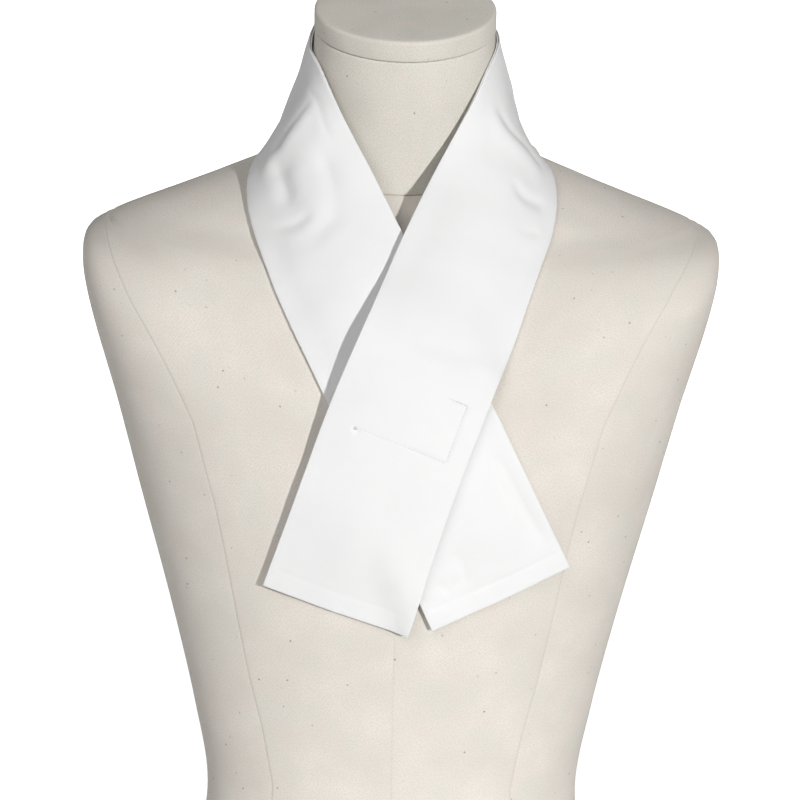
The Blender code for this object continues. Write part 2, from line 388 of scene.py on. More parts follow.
@dataclass(frozen=True)
class LinenFinish:
    """Natural linen drill, stretched over a form, with small dark flecks of husk, and painted shade along
    its seam lines.
    """

    name: str = "linen_drill"
    light: tuple = (0.850, 0.802, 0.736, 1)
    dull: tuple = (0.655, 0.608, 0.548, 1)
    cool: tuple = (0.758, 0.746, 0.672, 1)
    warm: tuple = (0.815, 0.728, 0.668, 1)
    fleck: tuple = (0.24, 0.20, 0.17, 1)
    # The colour that seam lines are darkened towards: painted shade for their grooves.
    seam: tuple = (0.36, 0.32, 0.27, 1)
    pitch: float = 0.00062
    speckle: float = 0.001
    hatch: float = 0.0018
    hatch_turn: float = 42.0
    hatch_share: float = 0.16
    fleck_gap: float = 0.0085
    cloud: float = 0.045
    cool_patch: float = 0.028
    warm_patch: float = 0.019
    hatch_patch: float = 0.02
    weave_depth: float = 0.00008
    roughness: float = 0.88
    roughness_swing: float = 0.06

    def material(self) -> bpy.types.Material:
        """The linen's material, woven along each panel's own flat coordinates."""
        graph = Graph(self.name)
        flat = graph.flat()
        cloudy = graph.noise(flat, self.cloud, 3)
        cooler = graph.noise(graph.turned(flat, 30), self.cool_patch, 2)
        warmer = graph.noise(graph.turned(flat, 75), self.warm_patch, 2)
        speckle = graph.noise(flat, self.speckle, 3)
        slub = graph.noise(graph.turned(flat, 0, (1, 0.2, 1)), self.speckle, 2)
        hatch = graph.threads(graph.turned(flat, self.hatch_turn), self.hatch, "X")
        patchy = graph.spread(graph.noise(flat, self.hatch_patch, 2), 0.3, 0.7, 0.2, 1.0)
        base = graph.blend(graph.spread(cloudy, 0.35, 0.68, 0.0, 0.5), self.light, self.dull)
        base = graph.blend(graph.spread(cooler, 0.45, 0.75, 0.0, 0.8), base, self.cool)
        base = graph.blend(graph.spread(warmer, 0.45, 0.75, 0.0, 0.6), base, self.warm)
        hatched = graph.maths("MULTIPLY", graph.maths("MULTIPLY", hatch, patchy), self.hatch_share)
        grain = graph.maths("ADD", graph.spread(speckle, 0.37, 0.65, 0.0, 0.55), hatched)
        base = graph.blend(grain, base, self.dull)
        cells = graph.node("ShaderNodeTexVoronoi", {"Vector": flat, "Scale": 1 / self.fleck_gap})
        near = graph.spread(cells.outputs["Distance"], 0.04, 0.1, 1.0, 0.0)
        chosen = graph.spread(cells.outputs["Color"], 0.4, 0.75, 0.0, 0.8)
        fleck = graph.maths("MULTIPLY", near, chosen)
        base = graph.blend(fleck, base, self.fleck)
        # Painted shade: seam lines darkened towards the seam colour, for the shade in their sunk grooves.
        mark = graph.node("ShaderNodeAttribute", attribute_name=PAINTED_SEAM_SHADE).outputs["Fac"]
        base = graph.blend(graph.maths("MULTIPLY", mark, 0.6), base, self.seam)
        graph.feed(graph.shader.inputs["Base Color"], base)
        warp = graph.threads(flat, self.pitch, "X")
        weft = graph.threads(flat, self.pitch, "Y")
        height = graph.maths("MULTIPLY_ADD", hatch, 0.5, graph.maths("MULTIPLY", warp, weft))
        height = graph.maths("MULTIPLY_ADD", slub, 0.8, height)
        graph.bump(height, self.weave_depth, 0.4)
        graph.uneven_roughness(slub, self.roughness, self.roughness_swing)
        return graph.material


@dataclass(frozen=True)
class TapeFinish:
    """White fastening tape, napped with small hooks or loops, with painted shade between them."""

    name: str
    pitch: float
    light: tuple = (0.86, 0.86, 0.86, 1)
    dull: tuple = (0.66, 0.66, 0.67, 1)
    nap_depth: float = 0.0003

    def material(self) -> bpy.types.Material:
        """The tape's material."""
        graph = Graph(self.name)
        flat = graph.flat()
        nap = graph.node("ShaderNodeTexVoronoi", {"Vector": flat, "Scale": 1 / self.pitch})
        height = graph.spread(nap.outputs["Distance"], 0.0, 0.6, 1.0, 0.0)
        # Painted shade: darker where the nap's bump is low, between the hooks or loops.
        graph.feed(graph.shader.inputs["Base Color"], graph.blend(height, self.dull, self.light))
        graph.feed(graph.shader.inputs["Roughness"], graph.spread(height, 0.0, 1.0, 0.8, 0.55))
        graph.bump(height, self.nap_depth, 0.8)
        return graph.material


@dataclass(frozen=True)
class ThreadFinish:
    """White sewing thread with its twist, coloured greyer than the cloth as painted shade for the stitch
    line's furrow, and with painted shade in the twist's grooves.
    """

    name: str = "white_thread"
    # Grey rather than white: painted shade for the furrow that the stitches lie in.
    light: tuple = (0.80, 0.80, 0.81, 1)
    dull: tuple = (0.64, 0.64, 0.66, 1)
    twist: float = 0.0003
    twist_depth: float = 0.00004

    def material(self) -> bpy.types.Material:
        """The thread's material, with its twist along each stitch and painted shade in the twist's grooves.
        """
        graph = Graph(self.name)
        where = graph.node("ShaderNodeTexCoord").outputs["Object"]
        twist = graph.threads(graph.turned(where, 35), self.twist, "X")
        # Painted shade: the thread is darker where the twist's bump is low.
        graph.feed(graph.shader.inputs["Base Color"], graph.blend(twist, self.dull, self.light))
        graph.feed(graph.shader.inputs["Roughness"], graph.spread(twist, 0.0, 1.0, 0.75, 0.55))
        graph.bump(twist, self.twist_depth, 0.5)
        return graph.material


@dataclass(frozen=True)
class Crease:
    """A soft ridge or trough along a line of places on the band.

    Attributes:
        path: Places along and across the band, in mm.
        half_width: Half its width, in mm.
        height: How far it stands up, in mm; below zero for a trough.
        fade: The share of its length over which each end dies away.
    """

    path: tuple
    half_width: float
    height: float
    fade: float = 0.3

    def lift(self, along: np.ndarray, across: np.ndarray) -> np.ndarray:
        """How far the crease lifts the cloth at each place.

        Args:
            along: Distances along the band, in mm.
            across: Distances across it, in mm.

        Returns:
            Heights in mm.
        """
        places = np.stack((along, across), axis=-1)
        stops = np.array(self.path, float)
        lengths = np.linalg.norm(np.diff(stops, axis=0), axis=1)
        total, done = lengths.sum(), 0.0
        best = np.full(along.shape, np.inf)
        share = np.zeros(along.shape)
        for start, end, length in zip(stops, stops[1:], lengths):
            run = (end - start) / length
            part = np.clip((places - start) @ run, 0, length)
            away = np.linalg.norm(places - start - part[..., None] * run, axis=-1)
            nearer = away < best
            best = np.where(nearer, away, best)
            share = np.where(nearer, (done + part) / total, share)
            done += length
        ends = np.clip(np.minimum(share, 1 - share) / self.fade, 0, 1)
        ends = ends * ends * (3 - 2 * ends)
        return self.height * np.exp(-((best / self.half_width) ** 2)) * ends


@dataclass(frozen=True)
class Unevenness:
    """Slight waves in many directions, the same on every run."""

    seed: int
    height: float
    shortest: float
    longest: float
    waves: int = 14

    def lift(self, along: np.ndarray, across: np.ndarray) -> np.ndarray:
        """The waves' height in mm at each place."""
        draw = np.random.RandomState(self.seed)
        total = np.zeros(along.shape)
        for _ in range(self.waves):
            length = draw.uniform(self.shortest, self.longest)
            turn = draw.uniform(0, math.pi)
            phase = draw.uniform(0, 2 * math.pi)
            run = along * math.cos(turn) + across * math.sin(turn)
            total += np.sin(2 * math.pi * run / length + phase)
        return self.height * total / math.sqrt(self.waves / 2)


class SeamPlace(Enum):
    """Where a seam of the form's cover runs."""

    RIGHT_SIDE = "right side"
    BACK = "back"
    LEFT_SIDE = "left side"
    FRONT = "front"


@dataclass(frozen=True)
class CoverSeam:
    """One seam of a cover, up the form.

    Attributes:
        place: The side of the form that it is on.
        course: Rows of level and distance from the middle, in mm; none on a side.
        levels: The levels between which it shows.
        depth: How deep its line lies, in mm.
        mark: How strongly painted shade darkens its line, for the shade in its groove.
    """

    place: SeamPlace
    course: tuple = ((0.0, 0.0), (600.0, 0.0))
    levels: tuple = (0.0, 640.0)
    depth: float = 0.3
    mark: float = 0.6

    def start(self, ring: np.ndarray, level: float) -> float:
        """The seam's place on a section, as a point number of the section's fine ring.

        Args:
            ring: The section's points, round from its +X side.
            level: The section's level.

        Returns:
            The place as a number of points from the ring's start, which may fall between two.
        """
        quarter = (len(ring) - 1) // 4
        if self.place is SeamPlace.RIGHT_SIDE:
            return 0.0
        if self.place is SeamPlace.LEFT_SIDE:
            return 2.0 * quarter
        wanted = np.interp(level, *zip(*self.course))
        first = 2 * quarter if self.place is SeamPlace.FRONT else 0
        half = ring[first:first + 2 * quarter + 1, 0]
        numbers = np.arange(first, first + 2 * quarter + 1, dtype=float)
        if half[0] > half[-1]:
            half, numbers = half[::-1], numbers[::-1]
        return float(np.interp(wanted, half, numbers))


PRINCESS_FRONT = ((0, 90), (50, 82), (100, 73), (151, 71), (184, 77), (220, 86), (260, 94), (297, 101),
                  (324, 107), (348, 113.6), (372, 120), (390, 128), (409, 136.5), (429, 146.5), (446, 155),
                  (464, 164.3), (477, 171.8), (485, 177.5), (487, 181))
PRINCESS_FRONT_RIGHT = PRINCESS_FRONT[:11] + ((390, 127), (409, 134.5), (429, 143), (446, 150.5),
                                              (464, 160), (477, 169.5), (485, 177), (487, 181))
PRINCESS_BACK = ((0, 84), (60, 76), (110, 66), (150, 63), (200, 68), (260, 80), (320, 92), (370, 104),
                 (410, 118), (440, 133), (465, 152), (478, 168), (485, 179), (487, 182))


def mirrored(course: tuple) -> tuple:
    """The same course on the -X side."""
    return tuple((level, -out) for level, out in course)


@dataclass
class Cover:
    """A sewn cover over part of the form, lofted through its sections.

    Attributes:
        name: The piece's name.
        rows: Sections: side, front and back height, half width, front and back depth, squareness.
        seams: Its seams, in order round from the +X side.
        panel_columns: How many columns of points each panel has.
        level_step: The greatest distance up the surface between two rows of points, in mm.
        rim_round: How far its top and bottom rims are rounded, in mm.
        ring_points: How many points a section's fine ring has.
        level_samples: How many levels are tried when the rows of points are spaced.
        line_share: The greatest share of a panel that a seam's line takes on each side.
        seam_fade: The height over which a seam dies away at its ends, in mm.
        panel_shift: How far each panel's weave is shifted from the one before, in metres.
        line_offsets: Places across a seam's line, in mm.
        line_depths: How deep the line lies at each place, as a share of the seam's depth.
        line_painted_shades: How strongly painted shade darkens it there, as a share of the seam's mark.
    """

    name: str
    rows: tuple
    seams: tuple
    panel_columns: int = 13
    level_step: float = 4.5
    rim_round: float = 0.7
    ring_points: int = 1440
    level_samples: int = 800
    line_share: float = 0.3
    seam_fade: float = 6.0
    panel_shift: float = 0.31
    line_offsets: tuple = (-3.2, -1.5, -0.5, 0.0, 0.5, 1.5, 3.2)
    line_depths: tuple = (0.0, 0.05, 0.35, 1.0, 0.35, 0.05, 0.0)
    # Painted shade across a seam's line, darkest at its middle.
    line_painted_shades: tuple = (0.0, 0.0, 0.2, 1.0, 0.2, 0.0, 0.0)

    def ring(self, level: float) -> np.ndarray:
        """The fine ring of points of the section at a level, closed."""
        front_z, back_z, half_width, front_y, back_y, squareness = smooth_row(self.rows, level)
        turn = np.linspace(0, 2 * math.pi, self.ring_points + 1)
        power = 2 / squareness
        side = np.sign(np.cos(turn)) * np.abs(np.cos(turn)) ** power
        deep = np.sign(np.sin(turn)) * np.abs(np.sin(turn)) ** power
        slope, dish = (back_z - front_z) / 2, (back_z + front_z) / 2 - level
        return np.stack((half_width * side, (front_y + back_y) / 2 + (back_y - front_y) / 2 * deep,
                         level + slope * deep + dish * deep * deep), axis=-1)

    def levels(self) -> np.ndarray:
        """Levels no further apart than the step, measured up the side and up the front."""
        fine = np.linspace(self.rows[0][0], self.rows[-1][0], self.level_samples)
        quarter = self.ring_points // 4
        lines = np.array([self.ring(level)[[0, quarter, 3 * quarter]] for level in fine])
        steps = np.linalg.norm(np.diff(lines, axis=0), axis=2).max(axis=1)
        run = np.concatenate(((0.0,), np.cumsum(steps)))
        count = math.ceil(run[-1] / self.level_step)
        return np.interp(np.linspace(0, run[-1], count + 1), run, fine)

    def columns(self, ring: np.ndarray, level: float) -> tuple[np.ndarray, np.ndarray]:
        """Where a section's columns of points lie, measured round it.

        Args:
            ring: The section's fine ring.
            level: Its level.

        Returns:
            The points, and their distances round from the first seam, in mm.
        """
        steps = np.linalg.norm(np.diff(ring, axis=0), axis=1)
        run = np.concatenate(((0.0,), np.cumsum(steps)))
        numbers = np.arange(len(ring))
        starts = [float(np.interp(seam.start(ring, level), numbers, run)) for seam in self.seams]
        starts.append(run[-1] + starts[0])
        places: list[float] = []
        reach = self.line_offsets[-1]
        for low, high in zip(starts, starts[1:]):
            shrink = min(1.0, self.line_share * (high - low) / reach)
            middle = len(self.line_offsets) // 2
            places += [low + offset * shrink for offset in self.line_offsets[middle:]]
            inner_low, inner_high = low + reach * shrink, high - reach * shrink
            places += list(np.linspace(inner_low, inner_high, self.panel_columns + 2)[1:-1])
            places += [high + offset * shrink for offset in self.line_offsets[:middle]]
        places.append(starts[-1])
        distance = np.array(places)
        wrapped = np.mod(distance, run[-1])
        points = np.stack([np.interp(wrapped, run, ring[:, axis]) for axis in range(3)], axis=-1)
        points[-1] = points[0]
        return points, distance

    def relief(self, levels: np.ndarray, columns: int) -> tuple[np.ndarray, np.ndarray]:
        """How deep the seam lines lie, and how much painted shade darkens them, at each point."""
        depth = np.zeros((len(levels), columns))
        mark = np.zeros((len(levels), columns))
        per_panel = len(self.line_offsets) + self.panel_columns
        middle = len(self.line_offsets) // 2
        for number, seam in enumerate(self.seams):
            low, high = seam.levels
            shows = np.clip(np.minimum(levels - low, high - levels) / self.seam_fade + 0.5, 0, 1)
            for offset, (deep, dark) in enumerate(zip(self.line_depths, self.line_painted_shades)):
                column = (number * per_panel + offset - middle) % (columns - 1)
                depth[:, column] = deep * seam.depth * shows
                mark[:, column] = dark * seam.mark * shows
        depth[:, -1], mark[:, -1] = depth[:, 0], mark[:, 0]
        return depth, mark

    def panel_uv(self, piece: bpy.types.Object, distance: np.ndarray, points: np.ndarray) -> None:
        """Lay each panel's own flat coordinates, straight up the panel's middle.

        Args:
            piece: The grid, before its first and last columns are joined.
            distance: Each point's distance round its section, in mm.
            points: The points, in mm.
        """
        per_panel = len(self.line_offsets) + self.panel_columns
        rows, columns = distance.shape
        uv = np.zeros((rows - 1, columns - 1, 4, 2))
        for number in range(len(self.seams)):
            first, last = number * per_panel, (number + 1) * per_panel
            middle = (distance[:, first] + distance[:, last]) / 2
            centre = points[:, (first + last) // 2]
            climb = np.concatenate(((0.0,), np.cumsum(np.linalg.norm(np.diff(centre, axis=0), axis=1))))
            across = distance[:, first:last + 1] - middle[:, None]
            shift = self.panel_shift * number
            for corner, (up, side) in enumerate(((0, 0), (0, 1), (1, 1), (1, 0))):
                part = uv[:, first:last, corner]
                part[..., 0] = across[up:rows - 1 + up, side:last - first + side] * MM + shift
                part[..., 1] = climb[up:rows - 1 + up, None] * MM
        corners = np.zeros(len(piece.data.loops), np.int32)
        piece.data.loops.foreach_get("vertex_index", corners)
        faces = corners.reshape(-1, 4)
        low = faces.min(axis=1)
        cell_row, cell_column = low // columns, low % columns
        up = faces // columns - cell_row[:, None]
        side = faces % columns - cell_column[:, None]
        corner = np.where(up == 0, side, 3 - side)
        flat = uv[cell_row[:, None], cell_column[:, None], corner]
        piece.data.uv_layers.active.data.foreach_set("uv", flat.astype(np.float32).ravel())

    def build(self) -> bpy.types.Object:
        """The cover as one closed piece, with its seam lines sunk and darkened with painted shade.

        Returns:
            The finished object, not yet dressed.
        """
        levels = self.levels()
        laid = [self.columns(self.ring(level), level) for level in levels]
        points = np.array([row[0] for row in laid])
        distance = np.array([row[1] for row in laid])
        depth, mark = self.relief(levels, points.shape[1])
        points = points - surface_normals(points, closed=True) * depth[..., None]
        points[:, -1] = points[:, 0]
        piece = grid_piece(self.name, points)
        self.panel_uv(piece, distance, points)
        # The seam lines' painted shade, kept for the linen's material.
        shade = piece.data.attributes.new(PAINTED_SEAM_SHADE, "FLOAT", "POINT")
        shade.data.foreach_set("value", mark.astype(np.float32).ravel())
        self.close(piece)
        piece.data.shade_smooth()
        return piece

    def close(self, piece: bpy.types.Object) -> None:
        """Join the grid round to itself, close its two ends and round their rims."""
        make_active(piece)
        bpy.ops.object.mode_set(mode="EDIT")
        bpy.ops.mesh.select_mode(type="EDGE")
        bpy.ops.mesh.select_all(action="SELECT")
        bpy.ops.mesh.remove_doubles(threshold=JOIN_REACH)
        bpy.ops.mesh.select_all(action="DESELECT")
        bpy.ops.mesh.select_non_manifold(extend=False, use_wire=False, use_multi_face=False,
                                         use_non_contiguous=False, use_verts=False)
        bpy.ops.mesh.edge_face_add()
        bpy.ops.mesh.select_all(action="SELECT")
        bpy.ops.mesh.normals_make_consistent(inside=False)
        bpy.ops.object.mode_set(mode="OBJECT")
        rims = [face for face in piece.data.polygons if len(face.vertices) > 8]
        if len(rims) != 2:
            raise ValueError(f"{self.name} has {len(rims)} closed ends, not 2")
        for face in piece.data.polygons:
            face.select = len(face.vertices) > 8
        bpy.ops.object.mode_set(mode="EDIT")
        bpy.ops.mesh.select_mode(type="FACE")
        bpy.ops.mesh.inset(thickness=self.rim_round * 2 * MM, depth=0)
        bpy.ops.mesh.poke()
        bpy.ops.object.mode_set(mode="OBJECT")
        apply_modifier(piece, "BEVEL", width=self.rim_round * MM, segments=2, limit_method="ANGLE",
                       angle_limit=RIM_ANGLE, use_clamp_overlap=True)


@dataclass
class DressForm:
    """The limbless form under the collar: torso, neck and the round plate on the neck."""

    torso_rows: tuple = (
        (0, 0, 0, 155, -94, 99, 2.4), (50, 50, 50, 142, -91, 92, 2.4), (100, 100, 100, 120, -86, 74, 2.15),
        (141, 141, 141, 113, -82, 68, 2.0), (190, 190, 190, 121, -90, 70, 2.0),
        (253, 253, 253, 136, -103, 78, 2.05), (327, 327, 327, 156.6, -111, 91, 2.2),
        (377, 375, 377, 170.2, -107, 98, 2.6), (426, 415, 426, 184.5, -95, 100, 3.2),
        (455, 437, 456, 191, -85, 98, 3.6), (470, 451, 470, 192.5, -78, 96, 3.5),
        (479, 460, 480, 191, -73, 94, 3.1), (485, 466, 487, 183, -69, 92.5, 2.7),
        (492.7, 473, 496.2, 167, -65, 90, 2.2), (503, 482, 507.5, 139, -61, 86, 2.15),
        (513, 490.5, 519.5, 112, -57, 80, 2.1), (522.5, 497.5, 532, 86, -52, 72, 2.05),
        (530, 503, 544, 69, -47, 60, 2.0),
    )
    neck_rows: tuple = (
        (530.3, 503.3, 544.3, 69, -47, 60, 2.0), (544, 518, 560, 61, -49, 54, 2.0),
        (565, 541, 583, 57, -53, 48, 2.0), (585, 562, 605, 55.2, -58, 42, 2.0),
        (602.4, 581.4, 623.4, 54, -62, 37.5, 2.0),
    )
    cap_radius: float = 54.6
    cap_thick: float = 12.6
    cap_tilt: float = 23.0
    cap_middle: tuple = (0.0, -14.6, 609.0)
    cap_rounding: float = 2.2
    cap_under_rounding: float = 0.7
    cap_crown: float = 0.9
    cap_sides: int = 160
    cap_rings: tuple = (6.0, 10.0, 12.0, 12.0)
    cap_rim_reach: float = 0.1
    cap_rim_steps: int = 4

    def torso(self) -> Cover:
        """The torso's cover, with its eight seams."""
        return Cover("torso_cover", self.torso_rows, (
            CoverSeam(SeamPlace.RIGHT_SIDE),
            CoverSeam(SeamPlace.BACK, PRINCESS_BACK, (-9, 484)),
            CoverSeam(SeamPlace.BACK),
            CoverSeam(SeamPlace.BACK, mirrored(PRINCESS_BACK), (-9, 484)),
            CoverSeam(SeamPlace.LEFT_SIDE),
            CoverSeam(SeamPlace.FRONT, mirrored(PRINCESS_FRONT), (-9, 486), depth=0.2, mark=0.7),
            CoverSeam(SeamPlace.FRONT, levels=(-9, 400), depth=0.15, mark=0.2),
            CoverSeam(SeamPlace.FRONT, PRINCESS_FRONT_RIGHT, (-9, 486), depth=0.15, mark=0.4),
        ))

    def neck(self) -> Cover:
        """The neck's cover, with one seam up its back."""
        return Cover("neck_cover", self.neck_rows, (CoverSeam(SeamPlace.BACK),), panel_columns=120,
                     level_step=3.5)

    def cap(self) -> bpy.types.Object:
        """The covered plate on the neck: a low cylinder with a crowned top and soft rims."""
        deselect_all()
        bpy.ops.mesh.primitive_cylinder_add(vertices=self.cap_sides, radius=self.cap_radius * MM,
                                            depth=self.cap_thick * MM, end_fill_type="NGON")
        piece = bpy.context.object
        piece.name = piece.data.name = "cap_cover"
        pick(piece, "FACE", lambda face: abs(face.normal.z) > ENDWAYS)
        for width in self.cap_rings:
            bpy.ops.mesh.inset(thickness=width * MM, depth=0)
        bpy.ops.mesh.poke()
        bpy.ops.object.mode_set(mode="OBJECT")
        for point in piece.data.vertices:
            out = math.hypot(point.co.x, point.co.y) / (self.cap_radius * MM)
            point.co.z += math.copysign(self.cap_crown * MM * (1 - out * out), point.co.z)
        self.cap_uv(piece)
        for up, rounding in ((True, self.cap_rounding), (False, self.cap_under_rounding)):
            self.round_rim(piece, up, rounding)
        turn = Matrix.Rotation(math.radians(self.cap_tilt), 4, "X")
        middle = Vector(to_frame(np.array(self.cap_middle)))
        piece.data.transform(Matrix.Translation(middle) @ turn)
        # No seam lines on the plate, so no painted seam shade.
        mark = piece.data.attributes.new(PAINTED_SEAM_SHADE, "FLOAT", "POINT")
        mark.data.foreach_set("value", np.zeros(len(piece.data.vertices), np.float32))
        piece.data.shade_smooth()
        return piece

    def round_rim(self, piece: bpy.types.Object, upper: bool, rounding: float) -> None:
        """Round one rim of the plate.

        Args:
            piece: The plate, still upright at the origin.
            upper: Whether it is the upper rim.
            rounding: How far it is rounded, in mm.
        """
        def on_rim(edge: bpy.types.MeshEdge) -> bool:
            """Whether both ends of an edge lie on the rim."""
            ends = [piece.data.vertices[corner].co for corner in edge.vertices]
            return all(math.hypot(end.x, end.y) > (self.cap_radius - self.cap_rim_reach) * MM
                       and (end.z > 0) == upper for end in ends)

        pick(piece, "EDGE", on_rim)
        bpy.ops.mesh.bevel(offset=rounding * MM, segments=self.cap_rim_steps, affect="EDGES")
        bpy.ops.object.mode_set(mode="OBJECT")

    def cap_uv(self, piece: bpy.types.Object) -> None:
        """Flat coordinates for the plate: straight down on its ends, and round its side."""
        mesh = piece.data
        layer = mesh.uv_layers.active.data
        for face in mesh.polygons:
            end = abs(face.normal.z) > ENDWAYS
            middle = math.atan2(face.center.y, face.center.x)
            for loop in face.loop_indices:
                spot = mesh.vertices[mesh.loops[loop].vertex_index].co
                if end:
                    layer[loop].uv = (spot.x, spot.y)
                    continue
                turn = math.atan2(spot.y, spot.x)
                turn += 2 * math.pi * round((middle - turn) / (2 * math.pi))
                layer[loop].uv = (turn * self.cap_radius * MM, spot.z)

    def build(self) -> BVHTree:
        """Build and dress the form.

        Returns:
            A search tree over what the collar lies on.
        """
        linen = LinenFinish().material()
        # The plate's linen is a darker, greyer copy: partly its own greyer tone, partly painted shade for
        # its up-facing top.
        plate = LinenFinish("linen_plate", light=(0.815, 0.782, 0.710, 1), dull=(0.610, 0.580, 0.515, 1),
                            hatch_turn=20)
        throat = LinenFinish("linen_throat", light=(0.800, 0.770, 0.700, 1), dull=(0.610, 0.575, 0.510, 1))
        torso, neck, cap = self.torso().build(), self.neck().build(), self.cap()
        settle(torso, ("form_torso",), "linen_cover", linen)
        settle(neck, ("form_neck",), "linen_cover", throat.material())
        settle(cap, ("form_neck_cap",), "linen_cap", plate.material())
        return tree_of(torso, neck)


@dataclass
class CollarBand:
    """The straight double band of white cotton, laid round the neck and crossed on the chest.

    A place on the band is its distance along it from the middle of the back, below zero towards the end
    that lies under, and its distance across it from the edge that lies against the neck. A station gives
    the length along, the inner and outer edge's places, and the bow between them. A fold gives its middle
    along and across, its heading, its length, half its width and its height.
    """

    back_middle: tuple = (0, 0, 45, 616, 0, 77, 531, 1)
    under_stations: tuple = (
        (30, -31, 39, 614, -31, 73, 529, 1), (60, -51, 19, 609.5, -58, 60, 528, 1),
        (90, -58.3, -7, 593.5, -76, 38, 525, 1), (120, -52.5, -29, 582.5, -83, 13, 526, 0.5),
        (145, -45.5, -44, 569, -91, -11, 519, 1), (170, -34.5, -54, 547, -92, -33, 501, 4),
        (200, -20, -62, 521.5, -87, -54, 481, 8), (245, 0, -76, 484, -73, -80, 447, 8),
        (305, 28, -97, 434, -47, -101, 397, 6), (365, 56, -107, 383, -21, -111, 345, 4),
        (415, 78, -106, 339, 0, -112, 300, 3), (470, 102, -91, 290, 22, -106, 253, 2),
    )
    over_stations: tuple = (
        (30, 30, 39, 614, 30, 73, 528, 1), (60, 48, 20, 609, 55, 60, 523, 1),
        (90, 55.8, -6, 600, 73, 38, 524, 0.7), (120, 52.3, -29, 585.5, 79.5, 14, 525, 0),
        (145, 44.5, -43, 568, 90, -10, 519, -2), (170, 33.5, -50, 546, 92, -31, 502, 3),
        (200, 20, -60, 520.5, 89, -53, 481, 7), (250, 0.4, -82, 480, 75, -80, 443, 7),
        (280, -11, -102, 453, 66, -94, 418, 6),
        (310, -22, -117, 428.5, 56, -106, 395, 5), (362, -40, -116, 384, 39.5, -116, 351, 4),
        (415, -58, -114, 332, 23.5, -115, 303, 3), (471, -77, -99, 277, 8, -107, 250, 2),
    )
    folds: tuple = (
        (-158, 35, 88, 80, 15, 2.4), (-192, 55, 5, 60, 12, -2.0), (-205, 22, -8, 70, 13, -1.6),
        (-178, 72, 70, 40, 12, 1.4), (-96, 52, 70, 70, 14, 1.6), (-34, 46, 82, 75, 15, -1.8),
        (26, 40, 96, 80, 16, 1.6), (84, 56, 110, 60, 14, -1.6), (154, 42, 80, 80, 15, 2.2),
        (186, 66, 60, 45, 12, -1.8), (298, 58, 105, 75, 16, -1.8), (240, 30, 20, 70, 15, 1.4),
        (-340, 60, 10, 80, 15, -1.2), (-415, 14, 3, 100, 12, -1.3), (425, 50, 95, 60, 15, 1.2),
    )
    creases: tuple = (
        Crease(((-147, 12), (-155, 27), (-159, 39), (-163, 51), (-163, 64), (-162, 78)), 7.0, 1.9, 0.25),
        Crease(((-144, 12), (-151, 28), (-154, 39), (-157, 52), (-156, 66)), 3.0, -0.8, 0.25),
        Crease(((-131, 18), (-150, 12), (-169, 14), (-183, 13)), 2.6, -0.55),
        Crease(((-164, 60), (-180, 57), (-192, 58), (-204, 58)), 5.5, -1.2),
        Crease(((-176, 45), (-192, 46), (-204, 47)), 7.0, 0.8),
        Crease(((-205, 76), (-210, 69), (-214, 60), (-214, 52), (-209, 44)), 3.2, -1.0, 0.3),
        Crease(((-219, 70), (-222, 58), (-218, 46)), 4.5, 0.4),
        Crease(((-174, 22), (-198, 26), (-213, 30), (-222, 34), (-227, 46), (-224, 60)), 6.0, -1.3, 0.25),
        Crease(((-240, 12), (-252, 40), (-250, 62)), 6.0, 0.5),
        Crease(((-379, 13), (-414, 12), (-439, 9), (-455, 7)), 4.4, -2.3),
        Crease(((-440, 78), (-450, 70), (-448, 58), (-436, 55), (-428, 64)), 3.4, -1.2),
        Crease(((-395, 30), (-420, 42), (-445, 38)), 7.0, 0.5),
        Crease(((149, 12), (157, 33), (160, 47), (161, 58), (165, 77)), 7.5, 1.3, 0.25),
        Crease(((142, 15), (150, 34), (151, 47), (151, 58), (157, 77)), 4.4, -1.3, 0.25),
        Crease(((150, 22), (168, 24), (187, 32)), 6.0, -0.5),
        Crease(((183, 46), (188, 58), (187, 67), (181, 80)), 3.8, -1.2, 0.3),
        Crease(((193, 52), (197, 64), (191, 78)), 5.0, 0.5),
        Crease(((212, 62), (208, 72), (203, 81)), 3.0, -0.7, 0.3),
        Crease(((308, 24), (300, 57), (288, 88)), 5.5, -0.9),
        Crease(((225, 20), (240, 34), (262, 40)), 6.0, 0.4),
        Crease(((-60, 70), (-72, 48), (-70, 26)), 5.0, -1.0),
        Crease(((-22, 74), (-30, 52), (-26, 30)), 4.5, 1.0),
        Crease(((18, 20), (24, 44), (20, 68)), 5.0, -1.0),
        Crease(((62, 72), (70, 54), (66, 32)), 4.5, -0.9),
        Crease(((100, 22), (106, 44), (102, 66)), 5.0, 1.0),
        Crease(((-112, 20), (-118, 42), (-112, 66)), 5.0, -0.8),
        Crease(((45, 0), (90, 0), (150, 0)), 9.0, -0.7, 0.2),
        Crease(((-45, 0), (-90, 0), (-150, 0)), 9.0, -0.7, 0.2),
    )
    ripples: Unevenness = Unevenness(seed=11, height=0.22, shortest=24, longest=70)
    face_marks: tuple = (
        Crease(((-458.5, 3), (-457.5, 85)), 1.4, -0.4, 0.05),
        Crease(((-456.5, 36), (-455.5, 86)), 3.2, -0.5, 0.25),
        Crease(((-470, 26), (-466.5, 28)), 0.9, -0.5, 0.1),
        Crease(((-471, 58), (-467.5, 57)), 0.9, -0.5, 0.1),
        Crease(((471, 47), (466, 49.5)), 0.9, -0.6, 0.1),
        Crease(((459.5, 3), (459, 85)), 1.6, -0.14, 0.05),
    )
    width: float = 88.0
    cage_rows: int = 96
    cage_columns: int = 8
    cloth_thick: float = 1.0
    ply_gap: float = 0.3
    rest_gap: float = 0.45
    form_reach: float = 60.0
    cage_softness: float = 1.0
    cloth_softness: float = 0.2
    ease_passes: int = 2
    under_share: float = 0.32
    crossing_gap: float = 5.3
    crossing_reach: float = 16.0
    coarse_step: float = 2.3
    fine_step: float = 0.75
